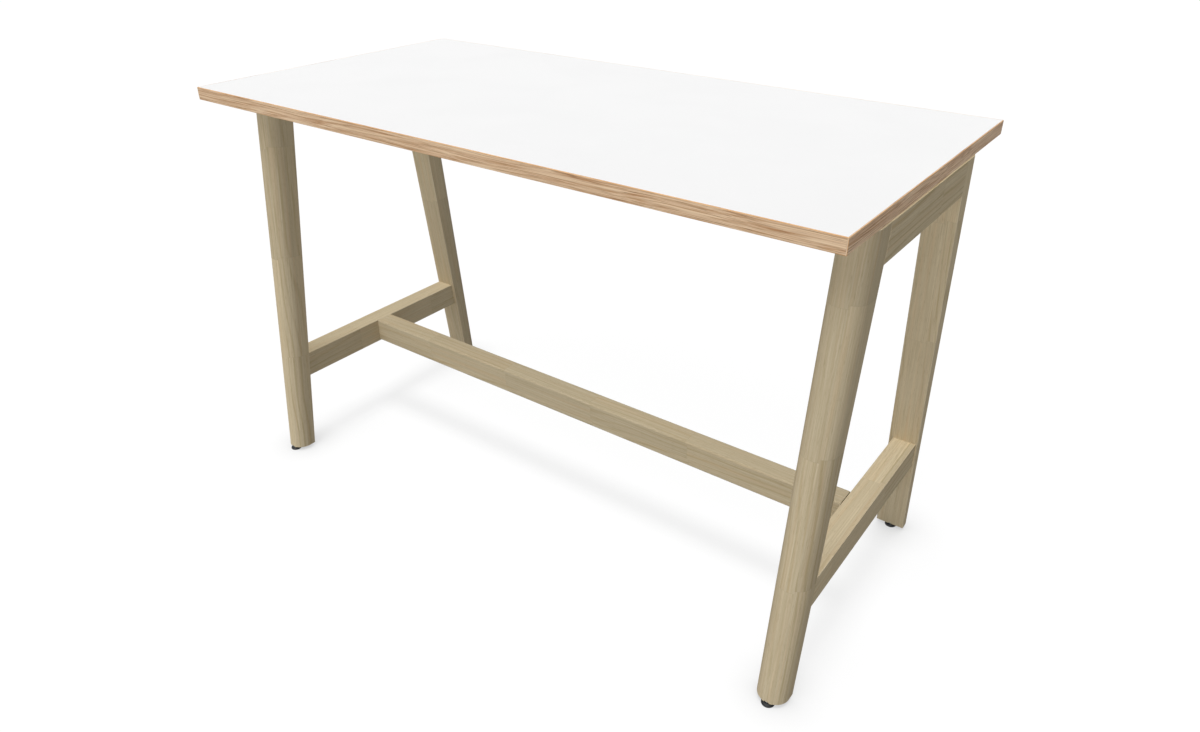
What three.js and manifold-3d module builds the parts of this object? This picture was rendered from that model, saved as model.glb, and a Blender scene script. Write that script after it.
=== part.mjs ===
// Standing meeting table: a white laminate top on two splayed wooden end frames, tied by a footrest beam.
// Millimetres, +Z up. The origin is on the floor under the middle of the top.
// +X runs along the top to the right, -Y is the front.
import * as THREE from "three";
import { mergeVertices } from "three/addons/utils/BufferGeometryUtils.js";
import Module from "manifold-3d";

const wasm = await Module();
wasm.setup();

// Table top: a core board faced on both sides and banded round its edge
const TABLE_HEIGHT = 900;
const TOP_LENGTH = 1400;
const TOP_WIDTH = 700;
const TOP_THICKNESS = 25;
const LAMINATE_THICKNESS = 0.8;
const EDGE_BAND_THICKNESS = 2;
const GLUE_LINE = 0.1;

// Legs: flat inner side, half-round outer side, thinner at the foot, leaning out to the front and the rear
const LEG_WIDTH = 60;
const LEG_DEPTH_TOP = 65;
const LEG_DEPTH_FOOT = 45;
const LEG_SPLAY = THREE.MathUtils.degToRad(7);
const LEG_SPAN_TOP = 348;
const LEG_INSET = 4;
const LEG_LIFT = 8;

// Rails between the leg tops, and the air gap that spacers keep under the top
const RAIL_THICKNESS = 47;
const RAIL_HEIGHT = 63.5;
const TOP_GAP = 7.5;

// Stretchers between the legs, and the footrest beam between the stretchers
const FOOTREST_LEVEL = 250;
const STRETCHER_THICKNESS = 47;
const STRETCHER_HEIGHT = 59;
const STRETCHER_INSET = 4;
const BEAM_WIDTH = 48;
const BEAM_HEIGHT = 57;
const BEAM_EDGE_RADIUS = 4;
const BEAM_SHADOW_GAP = 1.5;

// Loose tenons that join rails and stretchers to the legs
const TENON_THICKNESS = 12;
const TENON_WIDTH = 36;
const TENON_DEPTH = 24;

// Beam joint: a hanger bolt drawn up by a nut in a pocket under the beam, and two dowels
const BEAM_BOLT_DIAMETER = 8;
const BEAM_BOLT_IN_STRETCHER = 35;
const BEAM_BOLT_PAST_NUT = 5;
const BEAM_NUT_ACROSS_FLATS = 13;
const BEAM_NUT_THICKNESS = 6.5;
const BEAM_WASHER_THICKNESS = 6;
const BEAM_WASHER_HEIGHT = 18;
const POCKET_DIAMETER = 30;
const POCKET_INSET = 46;
const POCKET_HEADROOM = 14;
const DOWEL_DIAMETER = 8;
const DOWEL_DEPTH = 20;
const DOWEL_SPAN = 30;

// Top fixings: a socket bolt up through the rail and a spacer into a threaded insert
const TOP_BOLT_DIAMETER = 6;
const TOP_BOLT_SPAN = 220;
const TOP_BOLT_HEAD_DIAMETER = 10;
const TOP_BOLT_HEAD_HEIGHT = 6;
const TOP_BOLT_SOCKET_ACROSS_FLATS = 5;
const TOP_BOLT_SOCKET_DEPTH = 3;
const COUNTERBORE_DEPTH = 25;
const COUNTERBORE_MARGIN = 1.5;
const TOP_INSERT_DIAMETER = 10;
const TOP_INSERT_LENGTH = 14;
const TOP_SPACER_DIAMETER = 20;

// Levelling feet: a ball-jointed pad on a threaded stud with a hex collar
const PAD_DIAMETER = 25;
const PAD_RIM_HEIGHT = 2.2;
const PAD_HEIGHT = 5.6;
const PAD_NECK_DIAMETER = 14.4;
const PAD_EDGE_CHAMFER = 0.6;
const PAD_FLOOR = 1.5;
const BALL_DIAMETER = 10;
const BALL_TIP_DIAMETER = 6;
const STUD_DIAMETER = 8;
const STUD_PAST_INSERT = 2.5;
const COLLAR_ACROSS_FLATS = 13;
const COLLAR_HEIGHT = 4;
const COLLAR_RECESS_MARGIN = 2.5;
const FOOT_INSERT_DIAMETER = 11;
const FOOT_INSERT_LENGTH = 16;
const FRONT_FOOT_INSET = 9;
const REAR_FOOT_INSET = 9.4;

// Clearance between pieces that meet, and how finely round shapes are cut
const FIT_GAP = 0.3;
const ROUND_SIDES = 16;
const LEG_ROUND_SIDES = 24;
const PAD_SIDES = 24;

// Levels and places that follow from the sizes above
const UNDERSIDE = TABLE_HEIGHT - TOP_THICKNESS;
const FRAME_TOP = UNDERSIDE - TOP_GAP;
const RAIL_LOW = FRAME_TOP - RAIL_HEIGHT;
const STRETCHER_LOW = FOOTREST_LEVEL - STRETCHER_HEIGHT;
const BEAM_LOW = FOOTREST_LEVEL - BEAM_HEIGHT;
const LEG_SIDE = TOP_LENGTH / 2 - LEG_INSET;
const LEG_X = LEG_SIDE - LEG_WIDTH / 2;
const RAIL_X = LEG_SIDE - RAIL_THICKNESS / 2;
const STRETCHER_X = LEG_SIDE - STRETCHER_INSET - STRETCHER_THICKNESS / 2;
const STRETCHER_FACE = STRETCHER_X - STRETCHER_THICKNESS / 2;
const BEAM_AXIS_LEVEL = FOOTREST_LEVEL - BEAM_HEIGHT / 2;
const TOP_BOLT_SEAT = RAIL_LOW + COUNTERBORE_DEPTH - FIT_GAP;
const TOP_BOLT_RADIUS = TOP_BOLT_DIAMETER / 2;
const TOP_BOLT_HOLE_RADIUS = TOP_BOLT_RADIUS + FIT_GAP;
const TOP_INSERT_LOW = UNDERSIDE + GLUE_LINE;
const TOP_INSERT_HIGH = TOP_INSERT_LOW + TOP_INSERT_LENGTH;
const COLLAR_LOW = PAD_HEIGHT + FIT_GAP;
const COLLAR_TOP = COLLAR_LOW + COLLAR_HEIGHT;
const FOOT_INSERT_LOW = Math.max(COLLAR_TOP, LEG_LIFT) + FIT_GAP;
const FOOT_INSERT_TOP = FOOT_INSERT_LOW + FOOT_INSERT_LENGTH;
const STUD_TOP = FOOT_INSERT_TOP + STUD_PAST_INSERT;

const SIDES = [{ name: "left", sign: -1 }, { name: "right", sign: 1 }];
const ENDS = [{ name: "front", sign: -1 }, { name: "rear", sign: 1 }];

const FINISHES = {
  white_laminate: { color: 0xf6f6f5, roughness: 0.35, metalness: 0 },
  backing_laminate: { color: 0xe9e8e4, roughness: 0.5, metalness: 0 },
  particle_board: { color: 0xc2a77e, roughness: 0.9, metalness: 0 },
  oak_edge_band: { color: 0xc39a70, roughness: 0.5, metalness: 0 },
  ash: { color: 0xc2ab84, roughness: 0.55, metalness: 0 },
  beech: { color: 0xc99f6e, roughness: 0.6, metalness: 0 },
  black_plastic: { color: 0x1f1f20, roughness: 0.5, metalness: 0 },
  zinc_steel: { color: 0xb9bcc0, roughness: 0.35, metalness: 1 },
  brass: { color: 0xb8974a, roughness: 0.35, metalness: 1 },
};

// Axes for outlines that are drawn in X and Y and then stood up
const X_AXIS = new THREE.Vector3(1, 0, 0);
const Y_AXIS = new THREE.Vector3(0, 1, 0);
const Z_AXIS = new THREE.Vector3(0, 0, 1);
const OUTLINE_ACROSS_X = new THREE.Matrix4().makeBasis(Y_AXIS, Z_AXIS, X_AXIS);
const OUTLINE_ACROSS_Y = new THREE.Matrix4().makeBasis(X_AXIS, Z_AXIS, Y_AXIS.clone().negate());

// A closed geometry as a solid that can be joined and cut
function solid(geometry) {
  const bare = new THREE.BufferGeometry();
  bare.setAttribute("position", geometry.getAttribute("position"));
  bare.setIndex(geometry.getIndex());
  const welded = mergeVertices(bare);
  const corners = welded.getIndex().array;
  const triangles = [];
  for (let i = 0; i < corners.length; i += 3) {
    const [a, b, c] = corners.slice(i, i + 3);
    if (a !== b && b !== c && c !== a) triangles.push(a, b, c);
  }
  const vertProperties = new Float32Array(welded.getAttribute("position").array);
  const triVerts = new Uint32Array(triangles);
  return new wasm.Manifold(new wasm.Mesh({ numProp: 3, vertProperties, triVerts }));
}

function geometryOf(body) {
  const mesh = body.getMesh();
  const geometry = new THREE.BufferGeometry();
  geometry.setAttribute("position", new THREE.BufferAttribute(mesh.vertProperties, 3));
  geometry.setIndex(new THREE.BufferAttribute(mesh.triVerts, 1));
  geometry.computeVertexNormals();
  return geometry;
}

function cut(blank, tools) {
  return geometryOf(tools.reduce((body, tool) => body.subtract(solid(tool)), solid(blank)));
}

function join(first, second) {
  return geometryOf(solid(first).add(solid(second)));
}

function addPiece(group, name, finish, geometry) {
  const piece = new THREE.Mesh(geometry, new THREE.MeshStandardMaterial(FINISHES[finish]));
  piece.name = name;
  group.add(piece);
  return piece;
}

// A box between two values on each axis
function block([x0, x1], [y0, y1], [z0, z1]) {
  const geometry = new THREE.BoxGeometry(x1 - x0, y1 - y0, z1 - z0);
  return geometry.translate((x0 + x1) / 2, (y0 + y1) / 2, (z0 + z1) / 2);
}

function uprightRod(radius, low, high, sides = ROUND_SIDES) {
  const rod = new THREE.CylinderGeometry(radius, radius, high - low, sides);
  return rod.rotateX(Math.PI / 2).translate(0, 0, (low + high) / 2);
}

// A round bar along X, from one value of X to another
function levelRod(radius, from, to, sides = ROUND_SIDES) {
  const rod = new THREE.CylinderGeometry(radius, radius, Math.abs(to - from), sides);
  return rod.rotateZ(Math.PI / 2).translate((from + to) / 2, 0, 0);
}

// A profile of [radius, height] points turned about the Z axis, outer wall upwards
function turned(profile, sides = ROUND_SIDES) {
  const points = profile.map(([radius, height]) => new THREE.Vector2(radius, height));
  return new THREE.LatheGeometry(points, sides).rotateX(Math.PI / 2);
}

function turnedRing(inner, outer, low, high, sides = ROUND_SIDES) {
  return turned([[inner, low], [outer, low], [outer, high], [inner, high], [inner, low]], sides);
}

function hexRadius(acrossFlats) {
  return acrossFlats / 2 / Math.cos(Math.PI / 6);
}

// Leg shape: distance of the inner face from the middle, and depth, at a level
function legInner(level) {
  return LEG_SPAN_TOP / 2 + Math.tan(LEG_SPLAY) * (FRAME_TOP - level);
}

function legDepth(level) {
  return THREE.MathUtils.mapLinear(level, LEG_LIFT, FRAME_TOP, LEG_DEPTH_FOOT, LEG_DEPTH_TOP);
}

function footY(end) {
  const inner = legInner(LEG_LIFT);
  const distance = end.sign < 0 ? inner + LEG_DEPTH_FOOT - FRONT_FOOT_INSET : inner + REAR_FOOT_INSET;
  return end.sign * distance;
}

function legBlank(end) {
  const radius = LEG_WIDTH / 2;
  const centre = end.sign * (LEG_DEPTH_TOP - radius);
  const outline = new THREE.Shape();
  outline.moveTo(-radius, 0);
  outline.lineTo(radius, 0);
  outline.absarc(0, centre, radius, 0, end.sign * Math.PI, end.sign < 0);
  outline.closePath();
  const height = FRAME_TOP - LEG_LIFT;
  const settings = { depth: height, bevelEnabled: false, curveSegments: LEG_ROUND_SIDES };
  const blank = new THREE.ExtrudeGeometry(outline, settings).translate(0, 0, LEG_LIFT);
  const points = blank.getAttribute("position");
  for (let i = 0; i < points.count; i += 1) {
    const level = points.getZ(i);
    const depth = Math.abs(points.getY(i));
    const taper = depth > 0 ? legDepth(level) - LEG_DEPTH_TOP : 0;
    points.setY(i, end.sign * (legInner(level) + depth + taper));
  }
  return blank;
}

// A tenon across the joint between a leg and a bar, grown by a clearance where it cuts its mortise
function tenon(clearance) {
  const radius = TENON_THICKNESS / 2 + clearance;
  const straight = (TENON_WIDTH - TENON_THICKNESS) / 2;
  const outline = new THREE.Shape();
  outline.absarc(0, straight, radius, 0, Math.PI);
  outline.absarc(0, -straight, radius, Math.PI, 2 * Math.PI);
  outline.closePath();
  const depth = TENON_DEPTH + clearance;
  const settings = { depth: 2 * depth, bevelEnabled: false, curveSegments: ROUND_SIDES / 2 };
  return new THREE.ExtrudeGeometry(outline, settings).applyMatrix4(OUTLINE_ACROSS_Y).translate(0, depth, 0);
}

// Where the tenon of a bar sits: the bar's middle, on the inner face of the leg
function tenonPlace(end, x, low, high) {
  const level = (low + high) / 2;
  return new THREE.Vector3(x, end.sign * legInner(level), level);
}

function mortise(place) {
  return tenon(FIT_GAP).translate(place.x, place.y, place.z);
}

// A bar between the front and the rear leg, with its ends cut to the legs' lean
function barBetweenLegs(thickness, low, high) {
  const outline = new THREE.Shape();
  outline.moveTo(-legInner(low) + FIT_GAP, low);
  outline.lineTo(legInner(low) - FIT_GAP, low);
  outline.lineTo(legInner(high) - FIT_GAP, high);
  outline.lineTo(-legInner(high) + FIT_GAP, high);
  outline.closePath();
  const bar = new THREE.ExtrudeGeometry(outline, { depth: thickness, bevelEnabled: false });
  return bar.applyMatrix4(OUTLINE_ACROSS_X).translate(-thickness / 2, 0, 0);
}

// Fixings of the top, at one end of a rail
function topBoltPlace(side, end) {
  return [side.sign * RAIL_X, (end.sign * TOP_BOLT_SPAN) / 2];
}

function topBolt() {
  const headLow = TOP_BOLT_SEAT - TOP_BOLT_HEAD_HEIGHT;
  const headRadius = TOP_BOLT_HEAD_DIAMETER / 2;
  const blank = turned([
    [0, headLow],
    [headRadius, headLow],
    [headRadius, TOP_BOLT_SEAT],
    [TOP_BOLT_RADIUS, TOP_BOLT_SEAT],
    [TOP_BOLT_RADIUS, TOP_INSERT_HIGH],
    [0, TOP_INSERT_HIGH],
  ]);
  const socketRadius = hexRadius(TOP_BOLT_SOCKET_ACROSS_FLATS);
  const socketLow = headLow - FIT_GAP;
  return cut(blank, [uprightRod(socketRadius, socketLow, headLow + TOP_BOLT_SOCKET_DEPTH, 6)]);
}

function makeTop() {
  const top = new THREE.Group();
  const bandX = TOP_LENGTH / 2 - EDGE_BAND_THICKNESS;
  const bandY = TOP_WIDTH / 2 - EDGE_BAND_THICKNESS;
  const boardX = [GLUE_LINE - bandX, bandX - GLUE_LINE];
  const boardY = [GLUE_LINE - bandY, bandY - GLUE_LINE];
  const full = [UNDERSIDE, TABLE_HEIGHT];
  const lowFace = UNDERSIDE + LAMINATE_THICKNESS;
  const highFace = TABLE_HEIGHT - LAMINATE_THICKNESS;

  const insertRadius = TOP_INSERT_DIAMETER / 2;
  const holes = [];
  for (const side of SIDES) {
    for (const end of ENDS) {
      const [x, y] = topBoltPlace(side, end);
      const hole = uprightRod(insertRadius + FIT_GAP, UNDERSIDE - FIT_GAP, TOP_INSERT_HIGH + FIT_GAP);
      holes.push(hole.translate(x, y, 0));
      const insert = turnedRing(TOP_BOLT_HOLE_RADIUS, insertRadius, TOP_INSERT_LOW, TOP_INSERT_HIGH);
      const place = `${end.name}_${side.name}`;
      addPiece(top, `top_insert_${place}`, "brass", insert).position.set(x, y, 0);
    }
  }
  const core = block(boardX, boardY, [lowFace + GLUE_LINE, highFace - GLUE_LINE]);
  addPiece(top, "top_core", "particle_board", cut(core, holes));
  addPiece(top, "top_laminate", "white_laminate", block(boardX, boardY, [highFace, TABLE_HEIGHT]));
  const backing = block(boardX, boardY, [UNDERSIDE, lowFace]);
  addPiece(top, "underside_laminate", "backing_laminate", cut(backing, holes));

  const wholeWidth = [-TOP_WIDTH / 2, TOP_WIDTH / 2];
  for (const side of SIDES) {
    const band = block([0, EDGE_BAND_THICKNESS], wholeWidth, full);
    const x = side.sign < 0 ? -TOP_LENGTH / 2 : bandX;
    addPiece(top, `edge_band_${side.name}`, "oak_edge_band", band).position.x = x;
  }
  for (const end of ENDS) {
    const band = block(boardX, [0, EDGE_BAND_THICKNESS], full);
    const y = end.sign < 0 ? -TOP_WIDTH / 2 : bandY;
    addPiece(top, `edge_band_${end.name}`, "oak_edge_band", band).position.y = y;
  }
  return top;
}

function makeLeg(side, end) {
  const leg = new THREE.Group();
  const x = side.sign * LEG_X;
  const railPlace = tenonPlace(end, side.sign * RAIL_X - x, RAIL_LOW, FRAME_TOP);
  const stretcherPlace = tenonPlace(end, side.sign * STRETCHER_X - x, STRETCHER_LOW, FOOTREST_LEVEL);
  const recessRadius = hexRadius(COLLAR_ACROSS_FLATS) + COLLAR_RECESS_MARGIN;
  const footBores = [
    uprightRod(recessRadius, LEG_LIFT - FIT_GAP, FOOT_INSERT_LOW),
    uprightRod(FOOT_INSERT_DIAMETER / 2 + FIT_GAP, LEG_LIFT, FOOT_INSERT_TOP + FIT_GAP, PAD_SIDES),
    uprightRod(STUD_DIAMETER / 2 + FIT_GAP, LEG_LIFT, STUD_TOP + FIT_GAP, PAD_SIDES),
  ];
  footBores.forEach((bore) => bore.translate(0, footY(end), 0));
  const place = `${end.name}_${side.name}`;
  const cuts = [mortise(railPlace), mortise(stretcherPlace), ...footBores];
  addPiece(leg, `leg_${place}`, "ash", cut(legBlank(end), cuts));
  addPiece(leg, `rail_tenon_${place}`, "beech", tenon(0)).position.copy(railPlace);
  addPiece(leg, `stretcher_tenon_${place}`, "beech", tenon(0)).position.copy(stretcherPlace);
  leg.position.x = x;
  return leg;
}

function makeRail(side) {
  const rail = new THREE.Group();
  const boltRadius = TOP_BOLT_HEAD_DIAMETER / 2 + COUNTERBORE_MARGIN;
  const cuts = [];
  for (const end of ENDS) {
    cuts.push(mortise(tenonPlace(end, 0, RAIL_LOW, FRAME_TOP)));
    const y = topBoltPlace(side, end)[1];
    cuts.push(uprightRod(TOP_BOLT_HOLE_RADIUS, RAIL_LOW, FRAME_TOP + FIT_GAP).translate(0, y, 0));
    cuts.push(uprightRod(boltRadius, RAIL_LOW - FIT_GAP, RAIL_LOW + COUNTERBORE_DEPTH).translate(0, y, 0));
    const place = `${end.name}_${side.name}`;
    addPiece(rail, `top_bolt_${place}`, "zinc_steel", topBolt()).position.y = y;
    const low = FRAME_TOP + GLUE_LINE;
    const high = UNDERSIDE - GLUE_LINE;
    const spacer = turnedRing(TOP_BOLT_HOLE_RADIUS, TOP_SPACER_DIAMETER / 2, low, high);
    addPiece(rail, `top_spacer_${place}`, "black_plastic", spacer).position.y = y;
  }
  const blank = barBetweenLegs(RAIL_THICKNESS, RAIL_LOW, FRAME_TOP);
  addPiece(rail, `top_rail_${side.name}`, "ash", cut(blank, cuts));
  rail.position.x = side.sign * RAIL_X;
  return rail;
}

// Where the beam's end, its pocket and its fixings lie along X on one side
function beamEnd(side) {
  return STRETCHER_FACE - (side.sign < 0 ? FIT_GAP : BEAM_SHADOW_GAP);
}

function beamBoltHole(side) {
  const radius = BEAM_BOLT_DIAMETER / 2 + FIT_GAP;
  const from = beamEnd(side) - POCKET_INSET;
  const to = STRETCHER_FACE + BEAM_BOLT_IN_STRETCHER + FIT_GAP;
  return levelRod(radius, side.sign * from, side.sign * to).translate(0, 0, BEAM_AXIS_LEVEL);
}

function dowelHoles(side) {
  const reach = DOWEL_DEPTH + FIT_GAP;
  const from = beamEnd(side) - reach;
  const to = STRETCHER_FACE + reach;
  return ENDS.map((end) => {
    const hole = levelRod(DOWEL_DIAMETER / 2 + FIT_GAP, side.sign * from, side.sign * to);
    return hole.translate(0, (end.sign * DOWEL_SPAN) / 2, BEAM_AXIS_LEVEL);
  });
}

function makeStretcher(side) {
  const stretcher = new THREE.Group();
  const x = side.sign * STRETCHER_X;
  const mortises = ENDS.map((end) => mortise(tenonPlace(end, 0, STRETCHER_LOW, FOOTREST_LEVEL)));
  const fixings = [beamBoltHole(side), ...dowelHoles(side)];
  fixings.forEach((hole) => hole.translate(-x, 0, 0));
  const blank = barBetweenLegs(STRETCHER_THICKNESS, STRETCHER_LOW, FOOTREST_LEVEL);
  addPiece(stretcher, `stretcher_${side.name}`, "ash", cut(blank, [...mortises, ...fixings]));
  stretcher.position.x = x;
  return stretcher;
}

function beamBlank() {
  const half = BEAM_WIDTH / 2;
  const radius = BEAM_EDGE_RADIUS;
  const outline = new THREE.Shape();
  outline.absarc(half - radius, FOOTREST_LEVEL - radius, radius, 0, Math.PI / 2);
  outline.absarc(radius - half, FOOTREST_LEVEL - radius, radius, Math.PI / 2, Math.PI);
  outline.absarc(radius - half, BEAM_LOW + radius, radius, Math.PI, 1.5 * Math.PI);
  outline.absarc(half - radius, BEAM_LOW + radius, radius, 1.5 * Math.PI, 2 * Math.PI);
  outline.closePath();
  const [left, right] = SIDES.map(beamEnd);
  const settings = { depth: left + right, bevelEnabled: false, curveSegments: ROUND_SIDES / 4 };
  return new THREE.ExtrudeGeometry(outline, settings).applyMatrix4(OUTLINE_ACROSS_X).translate(-left, 0, 0);
}

// Half-moon washer about the pocket's axis: round towards the beam's end, flat towards the nut
function crescentWasher() {
  const half = BEAM_WASHER_HEIGHT / 2;
  const radius = POCKET_DIAMETER / 2 - FIT_GAP;
  const flat = POCKET_DIAMETER / 2 - BEAM_WASHER_THICKNESS;
  const across = [-POCKET_DIAMETER, POCKET_DIAMETER];
  const behind = block([-POCKET_DIAMETER, flat], across, [-BEAM_WASHER_HEIGHT, BEAM_WASHER_HEIGHT]);
  const hole = levelRod(BEAM_BOLT_DIAMETER / 2 + FIT_GAP, 0, POCKET_DIAMETER);
  return cut(uprightRod(radius, -half, half), [behind, hole]);
}

function beamNut() {
  const flat = POCKET_DIAMETER / 2 - BEAM_WASHER_THICKNESS - FIT_GAP;
  const blank = levelRod(hexRadius(BEAM_NUT_ACROSS_FLATS), flat - BEAM_NUT_THICKNESS, flat, 6);
  return cut(blank, [levelRod(BEAM_BOLT_DIAMETER / 2 + FIT_GAP, -POCKET_DIAMETER, POCKET_DIAMETER)]);
}

// Drawn for the right end, and turned half round for the left one
function makeBeamJoint(side) {
  const joint = new THREE.Group();
  const pocketX = beamEnd(side) - POCKET_INSET;
  const nutEnd = POCKET_DIAMETER / 2 - BEAM_WASHER_THICKNESS - FIT_GAP - BEAM_NUT_THICKNESS;
  const boltTip = pocketX + nutEnd - BEAM_BOLT_PAST_NUT;
  const bolt = levelRod(BEAM_BOLT_DIAMETER / 2, boltTip, STRETCHER_FACE + BEAM_BOLT_IN_STRETCHER);
  addPiece(joint, `beam_bolt_${side.name}`, "zinc_steel", bolt);
  addPiece(joint, `beam_washer_${side.name}`, "zinc_steel", crescentWasher()).position.x = pocketX;
  addPiece(joint, `beam_nut_${side.name}`, "zinc_steel", beamNut()).position.x = pocketX;
  for (const end of ENDS) {
    const dowel = levelRod(DOWEL_DIAMETER / 2, beamEnd(side) - DOWEL_DEPTH, STRETCHER_FACE + DOWEL_DEPTH);
    const name = `beam_dowel_${end.name}_${side.name}`;
    addPiece(joint, name, "beech", dowel).position.y = (side.sign * end.sign * DOWEL_SPAN) / 2;
  }
  joint.position.z = BEAM_AXIS_LEVEL;
  joint.rotation.z = side.sign < 0 ? Math.PI : 0;
  return joint;
}

function makeFootrest() {
  const footrest = new THREE.Group();
  const cuts = [];
  for (const side of SIDES) {
    const pocket = uprightRod(POCKET_DIAMETER / 2, BEAM_LOW - FIT_GAP, BEAM_AXIS_LEVEL + POCKET_HEADROOM);
    cuts.push(pocket.translate(side.sign * (beamEnd(side) - POCKET_INSET), 0, 0));
    cuts.push(beamBoltHole(side), ...dowelHoles(side));
    footrest.add(makeBeamJoint(side));
  }
  addPiece(footrest, "footrest_beam", "ash", cut(beamBlank(), cuts));
  return footrest;
}

// The ball end of the stud as [radius, level] points, grown by a clearance where it cuts the pad's socket
function ballProfile(clearance) {
  const low = PAD_FLOOR + FIT_GAP - clearance;
  const neck = STUD_DIAMETER / 2 + clearance;
  const equator = (PAD_FLOOR + PAD_HEIGHT) / 2;
  const shoulder = (equator + PAD_HEIGHT) / 2;
  return [
    [0, low],
    [BALL_TIP_DIAMETER / 2 + clearance, low],
    [BALL_DIAMETER / 2 + clearance, equator],
    [neck, shoulder],
  ];
}

function footPad() {
  const radius = PAD_DIAMETER / 2;
  const neck = PAD_NECK_DIAMETER / 2;
  const bore = STUD_DIAMETER / 2 + FIT_GAP;
  const shoulderLevel = (PAD_RIM_HEIGHT + PAD_HEIGHT * 2) / 3;
  const shoulderRadius = (radius + neck) / 2;
  const profile = [
    [0, 0],
    [radius - PAD_EDGE_CHAMFER, 0],
    [radius, PAD_EDGE_CHAMFER],
    [radius, PAD_RIM_HEIGHT],
    [shoulderRadius, shoulderLevel],
    [neck, PAD_HEIGHT],
    [bore, PAD_HEIGHT],
    ...ballProfile(FIT_GAP).reverse(),
  ];
  return turned(profile, PAD_SIDES);
}

function footStud() {
  const radius = STUD_DIAMETER / 2;
  const stud = turned([...ballProfile(0), [radius, STUD_TOP], [0, STUD_TOP]], PAD_SIDES);
  return join(stud, uprightRod(hexRadius(COLLAR_ACROSS_FLATS), COLLAR_LOW, COLLAR_TOP, 6));
}

function makeFoot(side, end) {
  const foot = new THREE.Group();
  const place = `${end.name}_${side.name}`;
  const bore = STUD_DIAMETER / 2 + FIT_GAP;
  const insert = turnedRing(bore, FOOT_INSERT_DIAMETER / 2, FOOT_INSERT_LOW, FOOT_INSERT_TOP, PAD_SIDES);
  addPiece(foot, `foot_pad_${place}`, "black_plastic", footPad());
  addPiece(foot, `foot_stud_${place}`, "zinc_steel", footStud());
  addPiece(foot, `foot_insert_${place}`, "brass", insert);
  foot.position.set(side.sign * LEG_X, footY(end), 0);
  return foot;
}

const table = new THREE.Group();
table.add(makeTop(), makeFootrest());
for (const side of SIDES) {
  table.add(makeRail(side), makeStretcher(side));
  for (const end of ENDS) table.add(makeLeg(side, end), makeFoot(side, end));
}

export default table;
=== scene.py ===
import math

import bmesh
import bpy
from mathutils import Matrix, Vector
from mathutils.geometry import intersect_point_line


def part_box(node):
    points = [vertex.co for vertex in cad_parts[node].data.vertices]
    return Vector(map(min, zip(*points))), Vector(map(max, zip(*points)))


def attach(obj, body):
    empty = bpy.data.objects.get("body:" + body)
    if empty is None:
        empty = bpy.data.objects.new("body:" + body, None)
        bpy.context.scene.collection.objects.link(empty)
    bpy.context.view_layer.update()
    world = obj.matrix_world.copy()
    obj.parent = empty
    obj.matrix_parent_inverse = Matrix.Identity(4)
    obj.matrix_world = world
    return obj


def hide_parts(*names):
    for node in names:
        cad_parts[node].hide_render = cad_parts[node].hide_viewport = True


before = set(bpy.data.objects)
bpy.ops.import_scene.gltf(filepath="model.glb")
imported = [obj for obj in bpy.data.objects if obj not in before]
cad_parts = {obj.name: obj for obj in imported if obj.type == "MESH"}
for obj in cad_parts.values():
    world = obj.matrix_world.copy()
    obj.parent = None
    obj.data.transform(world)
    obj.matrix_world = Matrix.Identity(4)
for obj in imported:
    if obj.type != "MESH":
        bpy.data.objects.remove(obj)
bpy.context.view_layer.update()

MM = 0.001
SIDES = {"left": -1, "right": 1}
ENDS = {"front": -1, "rear": 1}
CORNERS = [f"{end}_{side}" for end in ENDS for side in SIDES]

# Easing of the arrises, in millimetres, and the room that it needs beside a bore, as a multiple of its width
LEG_EASE = 1.0
BAR_EASE = 0.6
BAND_EASE = 0.9
NUT_EASE = 0.4
EASE_STEPS = 3
RIM_MARGIN = 1.2
SHARP_ANGLE = math.radians(36)

# Reading of the CAD solids: points this near are one, faces this flat to each other are one, a face with
# nothing further out than this is an outer one, and one with this cosine to a direction looks along it
WELD = 1e-6
FLAT_ANGLE = math.radians(0.5)
FLUSH = 0.02 * MM
FACING = 0.9

# Screw threads, in millimetres
THREAD_RADIUS = 4.0
THREAD_DEPTH = 0.6
THREAD_PITCH = 1.25
THREAD_STEPS = 6
THREAD_TIP = 0.3
THREAD_CHAMFER = 0.4

# Sides of the round pieces, and steps over the dome of a pad
THREAD_SIDES = 36
PAD_SIDES = 72
PAD_DOME_STEPS = 9
SPACER_SIDES = 64

# Laminated wood: staves end to end, lamellas side by side with their joints a little apart, each lamella's
# staves numbered on from the last one's, and the lean of a leg's grain, half-way between its inner and its
# outer face
STAVE = 252 * MM
LAMELLA = 34 * MM
LAMELLA_EDGE = 22 * MM
LAMELLA_STEP = 6 * MM
LAMELLA_NUMBERS = 7.0
LEG_GRAIN_LEAN = math.radians(6.34)
LEG_MIDDLE_AT_FLOOR = 302.9 * MM

# Light: an even sky and two broad lamps from above and in front, each as the share of full light that it
# gives a face that looks along X, Y or Z. The photograph shows most of that light without cast shadows.
SKY_LEVEL = 0.25
OPEN_LAMP = Vector((0.0, -0.29, 0.49))
SHADOW_LAMP = Vector((-0.04, -0.16, 0.24))
LAMP_SPREAD = math.radians(45)

# Floor: a small lamp almost overhead lights the floor alone, and only the low parts of the frame shade it,
# so the floor shows the narrow soft bands of the photograph. Next to the feet a painted shade from ambient
# occlusion makes it a little darker. The floor that is seen is grey and glows, and the one that throws
# light back is a little paler.
FLOOR_LAMP = Vector((0.0, -0.06, 2.0))
FLOOR_LAMP_SPREAD = math.radians(22.8)
FLOOR_LIFT = 0.785
FLOOR_CONTACT = 90 * MM
FLOOR_PAINTED_SHADE_DEPTH = 0.35
FLOOR_HALF = 60.0
FLOOR_SAMPLES = 16

# Camera, solved from the table's edges in the photograph
CAMERA_PLACE = (1.05528, -1.35243, 1.30304)
CAMERA_TURN = math.radians(36.25)
CAMERA_DIP = math.radians(29.85)
CAMERA_LENS = 26.489
CAMERA_SENSOR = 36.0

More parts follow.
